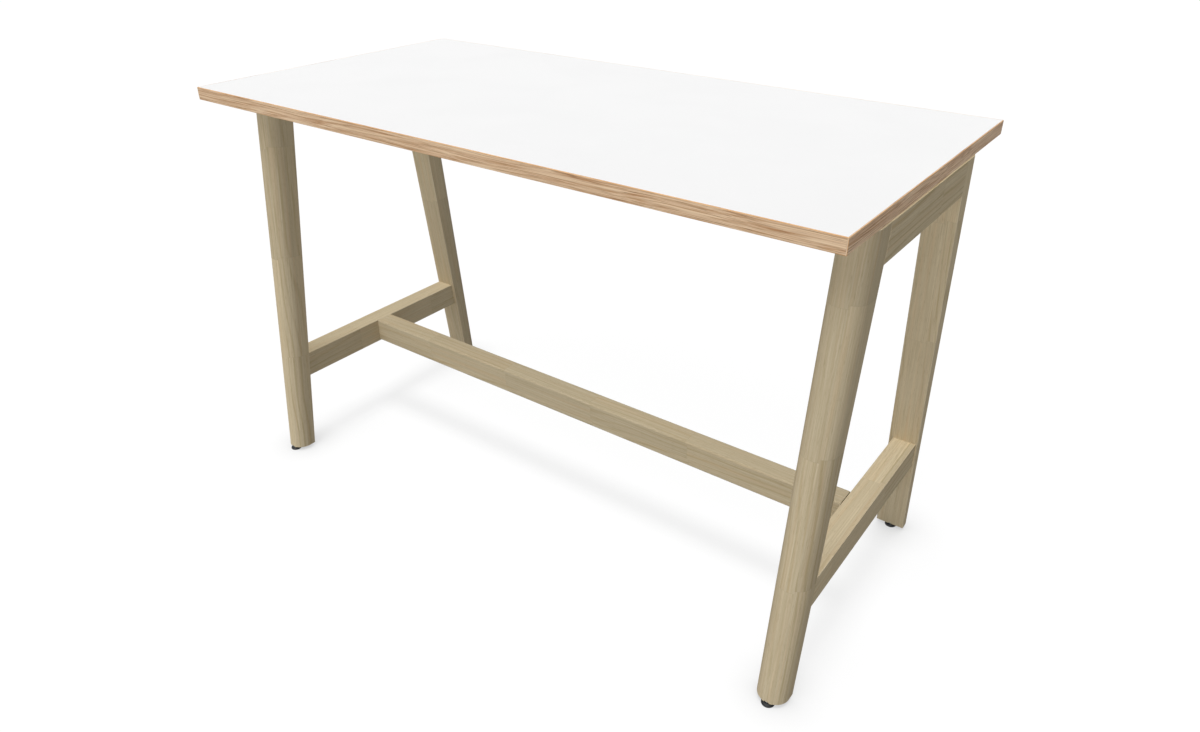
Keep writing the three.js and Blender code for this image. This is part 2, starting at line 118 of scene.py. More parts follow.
# Sockets of a colour mix by number, because its sockets for plain numbers and vectors have the same names
MIX_A, MIX_B, MIX_RESULT = 6, 7, 2


def linear(code):
    """Linear colour of an sRGB hex value."""
    shares = [(code >> shift & 255) / 255 for shift in (16, 8, 0)]
    return (*[s / 12.92 if s <= 0.04045 else ((s + 0.055) / 1.055) ** 2.4 for s in shares], 1.0)


def add(tree, kind, inputs=None, **settings):
    """A node with its settings. An input is a plain value or the output of another node."""
    node = tree.nodes.new(kind)
    for key, value in settings.items():
        setattr(node, key, value)
    for socket, value in (inputs or {}).items():
        if isinstance(value, bpy.types.NodeSocket):
            tree.links.new(value, node.inputs[socket])
        else:
            node.inputs[socket].default_value = value
    return node


def new_material(name):
    """An empty material with its tree and the place of a point on the piece, in metres."""
    material = bpy.data.materials.new(name)
    material.use_nodes = True
    tree = material.node_tree
    tree.nodes.clear()
    return material, tree, add(tree, "ShaderNodeTexCoord").outputs["Object"]


# Ash, sawn in staves that are glued end to end and side by side, sanded and lacquered matt. The eye sees
# fine straight grain along the piece, pale silvery streaks, now and then an arched figure, short dark pores,
# and a change of tone from stave to stave.
ASH_LATE = linear(0xD0C2A6)
ASH_EARLY = linear(0xB7A683)
ASH_PALE = linear(0xDCCFB2)
ASH_WARM = linear(0xCFB590)
ASH_PORE = linear(0x96825F)
# Paler colour of the painted highlight on the rounded arrises
ASH_ARRIS_HIGHLIGHT = linear(0xD5C9B0)

# Its grain, as repeats in a metre across and along the piece: fibres about 1.5 mm wide and 170 mm long,
# silvery streaks 2.4 mm wide, pores 0.7 mm wide and 15 mm long, warm clouds 7 mm wide, and rings that wander
# over some 110 mm
FIBRES = (650, 650, 6)
STREAKS = (420, 420, 3.5)
PORES = (1400, 1400, 65)
CLOUDS = (140, 140, 2.5)
WANDER = (9, 9, 2.2)

# Growth rings about a pith some 70 mm away and a little aslant, 6 mm apart where the real 2 mm would not
# show, bent by up to 50 mm, and the spread of the staves' places in the log
RING_WIDTH = 6 * MM
PITH_PLACE = (0.055, 0.045, 0)
PITH_SLANT = (0.03, 0.06, 0)
RING_BEND = (0.05, 0.05, 0.0)
LOG_SPREAD = (0.05, 0.05, 3.0)


def lacquered_ash(name, middle, turn, seed, shift, tone):
    """turn lays the grain along Z, seed picks the staves, shift moves their joints along the piece, and
    tone scales the whole piece's brightness: partly the wood's own tone and partly painted light."""
    material, tree, place = new_material(name)
    from_middle = add(tree, "ShaderNodeVectorMath", {0: place, 1: middle}, operation="SUBTRACT").outputs[0]
    board = add(tree, "ShaderNodeMapping", {0: from_middle, "Rotation": turn,
                                            "Location": (0, 0, -shift)}).outputs[0]
    across, _, along = add(tree, "ShaderNodeSeparateXYZ", {0: board}).outputs

    # Each stave has its own tone and its own place in the log
    from_edge = add(tree, "ShaderNodeMath", {0: across, 1: LAMELLA_EDGE}, operation="ADD").outputs[0]
    lamellas = add(tree, "ShaderNodeMath", {0: from_edge, 1: LAMELLA}, operation="DIVIDE").outputs[0]
    lamella = add(tree, "ShaderNodeMath", {0: lamellas}, operation="FLOOR").outputs[0]
    stepped = add(tree, "ShaderNodeMath", {0: lamella, 1: -LAMELLA_STEP, 2: along},
                  operation="MULTIPLY_ADD").outputs[0]
    staves = add(tree, "ShaderNodeMath", {0: stepped, 1: STAVE}, operation="DIVIDE").outputs[0]
    stave = add(tree, "ShaderNodeMath", {0: staves}, operation="FLOOR").outputs[0]
    row = add(tree, "ShaderNodeMath", {0: lamella, 1: LAMELLA_NUMBERS, 2: stave},
              operation="MULTIPLY_ADD").outputs[0]
    number = add(tree, "ShaderNodeMath", {0: row, 1: seed}, operation="ADD").outputs[0]
    lot = add(tree, "ShaderNodeTexWhiteNoise", {"W": number}, noise_dimensions="1D")
    log = add(tree, "ShaderNodeVectorMath", {0: lot.outputs["Color"], 1: LOG_SPREAD, 2: board},
              operation="MULTIPLY_ADD").outputs[0]

    # Growth rings. Only some staves are sawn so that the rings arch on their faces.
    slow = add(tree, "ShaderNodeMapping", {0: log, "Scale": WANDER}).outputs[0]
    wander = add(tree, "ShaderNodeTexNoise", {"Vector": slow, "Scale": 1.0, "Detail": 2.0}).outputs[1]
    bent = add(tree, "ShaderNodeVectorMath", {0: wander, 1: RING_BEND, 2: board},
               operation="MULTIPLY_ADD").outputs[0]
    aslant = add(tree, "ShaderNodeMapping", {0: bent, "Rotation": PITH_SLANT,
                                             "Location": PITH_PLACE}).outputs[0]
    level = add(tree, "ShaderNodeVectorMath", {0: aslant, 1: (1.0, 1.0, 0.0)},
                operation="MULTIPLY").outputs[0]
    pith = add(tree, "ShaderNodeVectorMath", {0: level}, operation="LENGTH").outputs["Value"]
    rings = add(tree, "ShaderNodeMath", {0: pith, 1: RING_WIDTH}, operation="DIVIDE").outputs[0]
    year = add(tree, "ShaderNodeMath", {0: rings, 1: 1.0}, operation="PINGPONG").outputs[0]
    _, figure, _ = add(tree, "ShaderNodeSeparateXYZ", {0: lot.outputs["Color"]}).outputs
    figured = add(tree, "ShaderNodeMapRange", {"Value": figure, "From Min": 0.4, "From Max": 1.0,
                                               "To Min": 0.1, "To Max": 0.6}).outputs[0]
    late = add(tree, "ShaderNodeMapRange", {"Value": year, "From Min": 0.5, "From Max": 1.0},
               interpolation_type="SMOOTHSTEP").outputs[0]
    early = add(tree, "ShaderNodeMath", {0: late, 1: figured}, operation="MULTIPLY").outputs[0]

    # Fibres, silvery streaks, pores and warm clouds
    thin = add(tree, "ShaderNodeMapping", {0: log, "Scale": FIBRES}).outputs[0]
    fibre = add(tree, "ShaderNodeTexNoise", {"Vector": thin, "Scale": 1.0, "Detail": 4.0,
                                             "Roughness": 0.62}).outputs[0]
    wide = add(tree, "ShaderNodeMapping", {0: log, "Scale": STREAKS}).outputs[0]
    streak = add(tree, "ShaderNodeTexNoise", {"Vector": wide, "Scale": 1.0, "Detail": 2.0}).outputs[0]
    short = add(tree, "ShaderNodeMapping", {0: log, "Scale": PORES}).outputs[0]
    dots = add(tree, "ShaderNodeTexNoise", {"Vector": short, "Scale": 1.0, "Detail": 1.0}).outputs[0]
    pore = add(tree, "ShaderNodeMapRange", {"Value": dots, "From Min": 0.60, "From Max": 0.74,
                                            "To Max": 0.4}).outputs[0]
    broad = add(tree, "ShaderNodeMapping", {0: log, "Scale": CLOUDS}).outputs[0]
    cloud = add(tree, "ShaderNodeTexNoise", {"Vector": broad, "Scale": 1.0, "Detail": 2.0}).outputs[0]

    fibre_share = add(tree, "ShaderNodeMapRange", {"Value": fibre, "From Min": 0.33, "From Max": 0.67,
                                                   "To Min": 0.12, "To Max": 0.68}).outputs[0]
    dark = add(tree, "ShaderNodeMath", {0: early, 1: fibre_share}, operation="ADD", use_clamp=True).outputs[0]
    wood = add(tree, "ShaderNodeMix", {0: dark, MIX_A: ASH_LATE, MIX_B: ASH_EARLY},
               data_type="RGBA").outputs[MIX_RESULT]
    silver = add(tree, "ShaderNodeMapRange", {"Value": streak, "From Min": 0.50, "From Max": 0.68,
                                              "To Max": 0.4}).outputs[0]
    wood = add(tree, "ShaderNodeMix", {0: silver, MIX_A: wood, MIX_B: ASH_PALE},
               data_type="RGBA").outputs[MIX_RESULT]
    warmth = add(tree, "ShaderNodeMapRange", {"Value": cloud, "From Min": 0.48, "From Max": 0.72,
                                              "To Max": 0.36}).outputs[0]
    wood = add(tree, "ShaderNodeMix", {0: warmth, MIX_A: wood, MIX_B: ASH_WARM},
               data_type="RGBA").outputs[MIX_RESULT]
    wood = add(tree, "ShaderNodeMix", {0: pore, MIX_A: wood, MIX_B: ASH_PORE},
               data_type="RGBA").outputs[MIX_RESULT]

    # Painted highlight: the rounded arrises are paler in patches
    edge = add(tree, "ShaderNodeAttribute", attribute_name="arris_highlight").outputs["Fac"]
    patchy_highlight = add(tree, "ShaderNodeMath", {0: edge, 1: cloud}, operation="MULTIPLY").outputs[0]
    wood = add(tree, "ShaderNodeMix", {0: patchy_highlight, MIX_A: wood, MIX_B: ASH_ARRIS_HIGHLIGHT},
               data_type="RGBA").outputs[MIX_RESULT]

    # A hairline of glue between the staves, and the tone of each stave, scaled by the piece's tone, which is
    # partly painted light
    part = add(tree, "ShaderNodeMath", {0: staves, 1: 0.5}, operation="PINGPONG").outputs[0]
    glue = add(tree, "ShaderNodeMapRange", {"Value": part, "From Min": 0.0015, "From Max": 0.0035,
                                            "To Min": 0.94, "To Max": 1.0}).outputs[0]
    stave_tone_and_light = add(tree, "ShaderNodeMapRange", {"Value": lot.outputs["Value"], "To Min": 0.92 * tone,
                                           "To Max": 1.05 * tone}).outputs[0]
    shade = add(tree, "ShaderNodeMath", {0: glue, 1: stave_tone_and_light}, operation="MULTIPLY").outputs[0]
    wood = add(tree, "ShaderNodeVectorMath", {0: wood, "Scale": shade}, operation="SCALE").outputs[0]

    # Matt lacquer scatters light and hardly mirrors it
    relief = add(tree, "ShaderNodeMath", {0: fibre, 1: pore}, operation="SUBTRACT").outputs[0]
    bump = add(tree, "ShaderNodeBump", {"Height": relief, "Strength": 0.30, "Distance": 0.2 * MM}).outputs[0]
    gloss = add(tree, "ShaderNodeMapRange", {"Value": fibre, "From Min": 0.3, "From Max": 0.7,
                                             "To Min": 0.64, "To Max": 0.80}).outputs[0]
    shader = add(tree, "ShaderNodeBsdfPrincipled", {"Base Color": wood, "Roughness": gloss, "IOR": 1.5,
                                                    "Specular IOR Level": 0.02, "Normal": bump})
    add(tree, "ShaderNodeOutputMaterial", {"Surface": shader.outputs[0]})
    return material


# Oak, a 2 mm solid lipping glued on and trimmed flush. The eye sees warm pale and brown streaks that run
# along the edge and drift across it, dark pore lines, and paler end grain where a lipping's end shows.
OAK_PALE = linear(0xF2D6B4)
OAK_DEEP = linear(0xBF9168)
OAK_PORE = linear(0x7D5C43)
OAK_END = linear(0xF0D9BC)
# Warmer, paler colour of the painted highlight on the rounded arrises
OAK_ARRIS_HIGHLIGHT = linear(0xE6B47E)

# Width and length of its streaks, pores and drifts, in millimetres, and how far the grain drifts
OAK_STREAK_SIZE = (1.6, 210)
OAK_PORE_SIZE = (0.7, 34)
OAK_DRIFT_SIZE = (40, 400)
OAK_DRIFT = 18 * MM


def oak_lipping(name, lengthwise, end_level, seed):
    """lengthwise is 0 for a lipping along X and 1 along Y; beyond end_level its end grain shows."""
    material, tree, place = new_material(name)
    scales = []
    for width, length in (OAK_STREAK_SIZE, OAK_PORE_SIZE, OAK_DRIFT_SIZE):
        scale = [1000 / width] * 3
        scale[lengthwise] = 1000 / length
        scales.append(scale)
    streak_scale, pore_scale, drift_scale = scales

    # The grain drifts across the edge by some millimetres
    slow = add(tree, "ShaderNodeMapping", {0: place, "Scale": drift_scale,
                                           "Location": (seed, seed, 0)}).outputs[0]
    drift = add(tree, "ShaderNodeTexNoise", {"Vector": slow, "Scale": 1.0, "Detail": 1.0}).outputs[1]
    bent = add(tree, "ShaderNodeVectorMath", {0: drift, 1: [OAK_DRIFT] * 3, 2: place},
               operation="MULTIPLY_ADD").outputs[0]
    thin = add(tree, "ShaderNodeMapping", {0: bent, "Scale": streak_scale}).outputs[0]
    streak = add(tree, "ShaderNodeTexNoise", {"Vector": thin, "Scale": 1.0, "Detail": 4.0,
                                              "Roughness": 0.6}).outputs[0]
    short = add(tree, "ShaderNodeMapping", {0: bent, "Scale": pore_scale}).outputs[0]
    dots = add(tree, "ShaderNodeTexNoise", {"Vector": short, "Scale": 1.0, "Detail": 2.0}).outputs[0]
    pore = add(tree, "ShaderNodeMapRange", {"Value": dots, "From Min": 0.54, "From Max": 0.65,
                                            "To Max": 0.8}).outputs[0]
    share = add(tree, "ShaderNodeMapRange", {"Value": streak, "From Min": 0.38, "From Max": 0.65}).outputs[0]
    wood = add(tree, "ShaderNodeMix", {0: share, MIX_A: OAK_PALE, MIX_B: OAK_DEEP},
               data_type="RGBA").outputs[MIX_RESULT]
    pore_share = add(tree, "ShaderNodeMath", {0: pore, 1: share}, operation="MULTIPLY").outputs[0]
    wood = add(tree, "ShaderNodeMix", {0: pore_share, MIX_A: wood, MIX_B: OAK_PORE},
               data_type="RGBA").outputs[MIX_RESULT]

    # End grain, and a painted highlight that makes the rounded arrises warmer and paler
    reach = add(tree, "ShaderNodeVectorMath", {0: place}, operation="ABSOLUTE").outputs[0]
    reach = add(tree, "ShaderNodeSeparateXYZ", {0: reach}).outputs[lengthwise]
    at_end = add(tree, "ShaderNodeMath", {0: reach, 1: end_level}, operation="GREATER_THAN").outputs[0]
    edge = add(tree, "ShaderNodeAttribute", attribute_name="arris_highlight").outputs["Fac"]
    pale = add(tree, "ShaderNodeMath", {0: at_end, 1: 0.6}, operation="MULTIPLY").outputs[0]
    wood = add(tree, "ShaderNodeMix", {0: pale, MIX_A: wood, MIX_B: OAK_END},
               data_type="RGBA").outputs[MIX_RESULT]
    warm_highlight = add(tree, "ShaderNodeMath", {0: edge, 1: 0.75}, operation="MULTIPLY").outputs[0]
    wood = add(tree, "ShaderNodeMix", {0: warm_highlight, MIX_A: wood, MIX_B: OAK_ARRIS_HIGHLIGHT},
               data_type="RGBA").outputs[MIX_RESULT]
    bump = add(tree, "ShaderNodeBump", {"Height": streak, "Strength": 0.25, "Distance": 0.15 * MM}).outputs[0]
    gloss = add(tree, "ShaderNodeMapRange", {"Value": streak, "To Min": 0.48, "To Max": 0.62}).outputs[0]
    shader = add(tree, "ShaderNodeBsdfPrincipled", {"Base Color": wood, "Roughness": gloss, "IOR": 1.5,
                                                    "Specular IOR Level": 0.1, "Normal": bump})
    add(tree, "ShaderNodeOutputMaterial", {"Surface": shader.outputs[0]})
    return material


def pressed_laminate(name, colour, shaded, rough):
    """High-pressure laminate from a pearled press plate: an even satin sheet with a 1.5 mm pearl, drawn
    coarser than the real 0.5 mm so that it shows, and faint rub marks of some 180 mm that change the gloss
    and, hardly, the tone."""
    pearl_size, rub_size = 1.5 * MM, 180 * MM
    material, tree, place = new_material(name)
    pearl = add(tree, "ShaderNodeTexNoise", {"Vector": place, "Scale": 1 / pearl_size,
                                             "Detail": 1.0}).outputs[0]
    rub = add(tree, "ShaderNodeTexNoise", {"Vector": place, "Scale": 1 / rub_size, "Detail": 5.0,
                                           "Distortion": 0.6}).outputs[0]
    share = add(tree, "ShaderNodeMapRange", {"Value": rub, "From Min": 0.35, "From Max": 0.8}).outputs[0]
    sheet = add(tree, "ShaderNodeMix", {0: share, MIX_A: linear(colour), MIX_B: linear(shaded)},
                data_type="RGBA").outputs[MIX_RESULT]
    gloss = add(tree, "ShaderNodeMapRange", {"Value": rub, "To Min": rough - 0.06,
                                             "To Max": rough + 0.06}).outputs[0]
    bump = add(tree, "ShaderNodeBump", {"Height": pearl, "Strength": 0.06, "Distance": 0.1 * MM}).outputs[0]
    shader = add(tree, "ShaderNodeBsdfPrincipled", {"Base Color": sheet, "Roughness": gloss, "IOR": 1.5,
                                                    "Normal": bump})
    add(tree, "ShaderNodeOutputMaterial", {"Surface": shader.outputs[0]})
    return material


def pressed_chipboard(name):
    """Particle board: flat chips a few millimetres long in several browns, bound with resin, dull."""
    chip_size, flatness = 4 * MM, 3.0
    pale, brown = linear(0xCDB48C), linear(0xA98A5E)
    material, tree, place = new_material(name)
    flat = add(tree, "ShaderNodeMapping", {0: place, "Scale": (1.0, 1.0, flatness)}).outputs[0]
    chips = add(tree, "ShaderNodeTexVoronoi", {"Vector": flat, "Scale": 1 / chip_size})
    tone = add(tree, "ShaderNodeSeparateXYZ", {0: chips.outputs["Color"]}).outputs["X"]
    board = add(tree, "ShaderNodeMix", {0: tone, MIX_A: pale, MIX_B: brown},
                data_type="RGBA").outputs[MIX_RESULT]
    bump = add(tree, "ShaderNodeBump", {"Height": chips.outputs["Distance"], "Strength": 0.4,
                                        "Distance": 0.3 * MM}).outputs[0]
    shader = add(tree, "ShaderNodeBsdfPrincipled", {"Base Color": board, "Roughness": 0.9, "IOR": 1.5,
                                                    "Normal": bump})
    add(tree, "ShaderNodeOutputMaterial", {"Surface": shader.outputs[0]})
    return material


def planed_beech(name, lengthwise):
    """Beech, planed and unfinished: pinkish brown, even, with dark ray flecks 1.1 mm wide and 8 mm long."""
    per_metre_across, per_metre_along = 900.0, 120.0
    pale, brown = linear(0xD2AA7C), linear(0xA87B4F)
    material, tree, place = new_material(name)
    grain = [per_metre_across] * 3
    grain[lengthwise] = per_metre_along
    fine = add(tree, "ShaderNodeMapping", {0: place, "Scale": grain}).outputs[0]
    ray = add(tree, "ShaderNodeTexNoise", {"Vector": fine, "Scale": 1.0, "Detail": 3.0}).outputs[0]
    fleck = add(tree, "ShaderNodeMapRange", {"Value": ray, "From Min": 0.55, "From Max": 0.68}).outputs[0]
    wood = add(tree, "ShaderNodeMix", {0: fleck, MIX_A: pale, MIX_B: brown},
               data_type="RGBA").outputs[MIX_RESULT]
    bump = add(tree, "ShaderNodeBump", {"Height": ray, "Strength": 0.2, "Distance": 0.1 * MM}).outputs[0]
    shader = add(tree, "ShaderNodeBsdfPrincipled", {"Base Color": wood, "Roughness": 0.7, "IOR": 1.5,
                                                    "Normal": bump})
    add(tree, "ShaderNodeOutputMaterial", {"Surface": shader.outputs[0]})
    return material


def moulded_plastic(name):
    """Black polyamide from a spark-eroded mould: near black, a fine matt grain of 0.6 mm, paler where it
    is rubbed."""
    spark_size, rub_size = 0.6 * MM, 7 * MM
    fresh, rubbed = linear(0x17181A), linear(0x2A2B2D)
    material, tree, place = new_material(name)
    spark = add(tree, "ShaderNodeTexNoise", {"Vector": place, "Scale": 1 / spark_size,
                                             "Detail": 2.0}).outputs[0]
    rub = add(tree, "ShaderNodeTexNoise", {"Vector": place, "Scale": 1 / rub_size, "Detail": 4.0}).outputs[0]
    share = add(tree, "ShaderNodeMapRange", {"Value": rub, "From Min": 0.5, "From Max": 0.8}).outputs[0]
    black = add(tree, "ShaderNodeMix", {0: share, MIX_A: fresh, MIX_B: rubbed},
                data_type="RGBA").outputs[MIX_RESULT]
    gloss = add(tree, "ShaderNodeMapRange", {"Value": rub, "To Min": 0.44, "To Max": 0.62}).outputs[0]
    bump = add(tree, "ShaderNodeBump", {"Height": spark, "Strength": 0.25, "Distance": 0.06 * MM}).outputs[0]
    shader = add(tree, "ShaderNodeBsdfPrincipled", {"Base Color": black, "Roughness": gloss, "IOR": 1.53,
                                                    "Specular IOR Level": 0.25, "Normal": bump})
    add(tree, "ShaderNodeOutputMaterial", {"Surface": shader.outputs[0]})
    return material


def plated_steel(name):
    """Steel, rolled or turned and zinc plated: a pale blue-grey metal with soft crystal patches of 3 mm."""
    patch_size, haze_size = 3 * MM, 1 * MM
    pale, dull = linear(0xC6CACF), linear(0xADB1B3)
    material, tree, place = new_material(name)
    patch = add(tree, "ShaderNodeTexVoronoi", {"Vector": place, "Scale": 1 / patch_size}, feature="SMOOTH_F1")
    haze = add(tree, "ShaderNodeTexNoise", {"Vector": place, "Scale": 1 / haze_size,
                                            "Detail": 3.0}).outputs[0]
    zinc = add(tree, "ShaderNodeMix", {0: patch.outputs["Distance"], MIX_A: pale, MIX_B: dull},
               data_type="RGBA").outputs[MIX_RESULT]
    gloss = add(tree, "ShaderNodeMapRange", {"Value": haze, "To Min": 0.24, "To Max": 0.44}).outputs[0]
    bump = add(tree, "ShaderNodeBump", {"Height": haze, "Strength": 0.15, "Distance": 0.03 * MM}).outputs[0]
    shader = add(tree, "ShaderNodeBsdfPrincipled", {"Base Color": zinc, "Metallic": 1.0,
                                                    "Roughness": gloss, "Normal": bump})
    add(tree, "ShaderNodeOutputMaterial", {"Surface": shader.outputs[0]})
    return material


def turned_brass(name):
    """Brass from the lathe: yellow metal, a little stained, with fine tool marks round it, 0.4 mm apart so
    that they show."""
    mark_gap, stain_size = 0.4 * MM, 2 * MM
    bright, stained = linear(0xD8B86A), linear(0xA98642)
    material, tree, place = new_material(name)
    level = add(tree, "ShaderNodeSeparateXYZ", {0: place}).outputs["Z"]
    turns = add(tree, "ShaderNodeMath", {0: level, 1: mark_gap}, operation="DIVIDE").outputs[0]
    mark = add(tree, "ShaderNodeMath", {0: turns, 1: 1.0}, operation="PINGPONG").outputs[0]
    stain = add(tree, "ShaderNodeTexNoise", {"Vector": place, "Scale": 1 / stain_size,
                                             "Detail": 3.0}).outputs[0]
    brass = add(tree, "ShaderNodeMix", {0: stain, MIX_A: bright, MIX_B: stained},
                data_type="RGBA").outputs[MIX_RESULT]
    gloss = add(tree, "ShaderNodeMapRange", {"Value": stain, "To Min": 0.22, "To Max": 0.42}).outputs[0]
    bump = add(tree, "ShaderNodeBump", {"Height": mark, "Strength": 0.2, "Distance": 0.03 * MM}).outputs[0]
    shader = add(tree, "ShaderNodeBsdfPrincipled", {"Base Color": brass, "Metallic": 1.0,
                                                    "Roughness": gloss, "Normal": bump})
    add(tree, "ShaderNodeOutputMaterial", {"Surface": shader.outputs[0]})
    return material


def place_piece(name, form, material, body, node):
    """A finished mesh as a piece that stands for a CAD node and rides on its body."""
    mesh = bpy.data.meshes.new(name)
    form.to_mesh(mesh)
    form.free()
    mesh.shade_smooth()
    mesh.set_sharp_from_angle(angle=SHARP_ANGLE)
    mesh.materials.append(material)
    piece = bpy.data.objects.new(name, mesh)
    bpy.context.scene.collection.objects.link(piece)
    even = piece.modifiers.new("even_faces", "WEIGHTED_NORMAL")
    even.keep_sharp = True
    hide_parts(node)
    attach(piece, body)


def gap(point, edge):
    """How far a point is from an edge."""
    start, end = (vert.co for vert in edge.verts)
    _, share = intersect_point_line(point, start, end)
    return (point - start.lerp(end, min(max(share, 0.0), 1.0))).length


def eased(node, ease, crisp=()):
    """The CAD solid with its outer arrises rounded. Faces that look along a crisp direction keep theirs, and
    so does an arris with an end that has no room for the rounding beside the rim of a bore.

    An outer arris lies between two faces that have the whole piece behind them, which a bore never has."""
    form = bmesh.new()
    form.from_mesh(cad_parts[node].data)
    bmesh.ops.remove_doubles(form, verts=form.verts, dist=WELD)
    bmesh.ops.dissolve_limit(form, angle_limit=FLAT_ANGLE, verts=form.verts, edges=form.edges)
    arris_highlight = form.faces.layers.float.new("arris_highlight")
    form.normal_update()
    corners = [vert.co.copy() for vert in form.verts]
    outer = set()
    for face in form.faces:
        start = face.verts[0].co
        if max(face.normal.dot(corner - start) for corner in corners) < FLUSH:
            outer.add(face)
    rims = [edge for edge in form.edges if len(outer & set(edge.link_faces)) == 1]
    room = RIM_MARGIN * ease * MM
    arrises = []
    for edge in form.edges:
        if not set(edge.link_faces) <= outer or edge.calc_face_angle() < SHARP_ANGLE:
            continue
        if any(face.normal.dot(way) > FACING for face in edge.link_faces for way in crisp):
            continue
        if all(gap(vert.co, rim) > room for vert in edge.verts for rim in rims):
            arrises.append(edge)
    rounded = bmesh.ops.bevel(form, geom=arrises, offset=ease * MM, offset_type="OFFSET", segments=EASE_STEPS,
                              profile=0.5, affect="EDGES", clamp_overlap=False)
    # The rounded faces are marked for the painted highlight that the wood materials put on arrises
    for face in rounded["faces"]:
        face[arris_highlight] = 1.0
    return form


def skin(rings, closed=False):
    """A surface over rings of points, capped at both ends, or joined end to end if closed."""
    form = bmesh.new()
    loops = [[form.verts.new(point) for point in ring] for ring in rings]
    pairs = list(zip(loops, loops[1:]))
    if closed:
        pairs.append((loops[-1], loops[0]))
    else:
        form.faces.new(loops[0])
        form.faces.new(loops[-1])
    for low, high in pairs:
        for i in range(len(low)):
            j = (i + 1) % len(low)
            form.faces.new((low[i], low[j], high[j], high[i]))
    bmesh.ops.recalc_face_normals(form, faces=form.faces)
    return form


def ring(centre, radius, level, sides, lying=False):
    """Points round an upright axis through centre, or round one along X. radius may depend on the angle."""
    points = []
    for i in range(sides):
        angle = 2 * math.pi * i / sides
        reach = radius(angle) if callable(radius) else radius
        out, up = reach * math.cos(angle), reach * math.sin(angle)
        offset = (level, up, -out) if lying else (out, up, level)
        points.append(centre + Vector(offset) * MM)
    return points


def thread_rings(centre, low, high, lying=False):
    """Rings of a right-hand V thread between two levels, run out to its root at both ends."""
    count = round((high - low) / THREAD_PITCH * THREAD_STEPS)
    rings = []
    for i in range(count + 1):
        level = low + (high - low) * i / count
        run_out = min(1.0, (level - low) / THREAD_PITCH, (high - level) / THREAD_PITCH)

        def crest(angle):
            turn = (level / THREAD_PITCH - angle / (2 * math.pi)) % 1.0
            return THREAD_RADIUS - THREAD_DEPTH + THREAD_DEPTH * run_out * (1 - abs(2 * turn - 1))

        rings.append(ring(centre, crest, level, THREAD_SIDES, lying))
    return rings


def middle_of(node):
    """The middle of a CAD node's box."""
    low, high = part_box(node)
    return (low + high) / 2


def foot_pad(node):
    """A moulded pad: rounded rim, domed shoulder, socket for the ball, and a shallow recess below.

    Its profile is given as radius and level in millimetres. The dome bends from the rim to the neck, pulled
    towards its bow."""
    centre = middle_of(node)
    centre.z = 0
    rim, rim_level, neck, top = 12.5, 2.2, 7.2, 5.6
    bow, bow_level = 9.85, 5.04
    profile = [(8.4, 0.3), (8.8, 0.0), (11.9, 0.0), (12.3, 0.15), (rim, 0.6), (rim, rim_level - 0.2)]
    for i in range(PAD_DOME_STEPS + 1):
        t = i / PAD_DOME_STEPS
        shares = ((1 - t) ** 2, 2 * t * (1 - t), t * t)
        radius = shares[0] * rim + shares[1] * bow + shares[2] * neck
        level = shares[0] * rim_level + shares[1] * bow_level + shares[2] * top
        profile.append((radius, level))
    profile += [(4.9, top), (4.4, top - 0.2), (4.3, 4.6), (5.2, 3.9), (5.3, 3.55), (4.6, 2.3), (3.3, 1.5)]
    return skin([ring(centre, radius, level, PAD_SIDES) for radius, level in profile])


def foot_stud(node):
    """A stud with a ball end, a chamfered hexagon and a rolled thread, in millimetres."""
    centre = middle_of(node)
    centre.z = 0
    low, high = (corner.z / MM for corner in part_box(node))
    collar_low, collar_high, flat = 5.9, 9.9, 6.5

    def hexagon(limit):
        sixth = math.pi / 3
        return lambda angle: min(limit, flat / math.cos((angle + sixth / 2) % sixth - sixth / 2))

    rings = [ring(centre, radius, level, THREAD_SIDES) for radius, level in (
        (2.8, low), (4.1, low + 0.5), (4.8, low + 1.2), (5.0, 3.55), (4.8, 4.0), (4.3, 4.4), (4.0, 4.8),
        (4.0, collar_low))]
    for limit, level in ((6.3, collar_low), (7.0, collar_low + 0.4), (7.6, collar_low + 0.75),
                         (7.6, collar_high - 0.75), (7.0, collar_high - 0.4), (6.3, collar_high)):
        rings.append(ring(centre, hexagon(limit), level, THREAD_SIDES))
    root = THREAD_RADIUS - THREAD_DEPTH
    rings.append(ring(centre, root, collar_high, THREAD_SIDES))
    rings += thread_rings(centre, collar_high + 0.1, high - THREAD_CHAMFER)
    rings.append(ring(centre, root - THREAD_TIP, high, THREAD_SIDES))
    return skin(rings)


def beam_rod(node):
    """A threaded rod along the beam with chamfered ends."""
    low, high = (corner.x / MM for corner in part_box(node))
    centre = middle_of(node)
    centre.x = 0
    tip = THREAD_RADIUS - THREAD_DEPTH - THREAD_TIP
    rings = [ring(centre, tip, low, THREAD_SIDES, True)]
    rings += thread_rings(centre, low + THREAD_CHAMFER, high - THREAD_CHAMFER, True)
    rings.append(ring(centre, tip, high, THREAD_SIDES, True))
    return skin(rings)


def spacer_ring(node):
    """A turned plastic spacer with rounded rims, its profile as radius and level in millimetres."""
    centre = middle_of(node)
    centre.z = 0
    low, high = (corner.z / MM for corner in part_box(node))
    profile = ((3.3, low), (9.5, low), (9.85, low + 0.15), (10.0, low + 0.5),
               (10.0, high - 0.5), (9.85, high - 0.15), (9.5, high), (3.3, high))
    return skin([ring(centre, radius, level, SPACER_SIDES) for radius, level in profile], closed=True)


def dress(node, material):
    """A CAD node that shows as it is takes a material."""
    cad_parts[node].material_slots[0].material = material


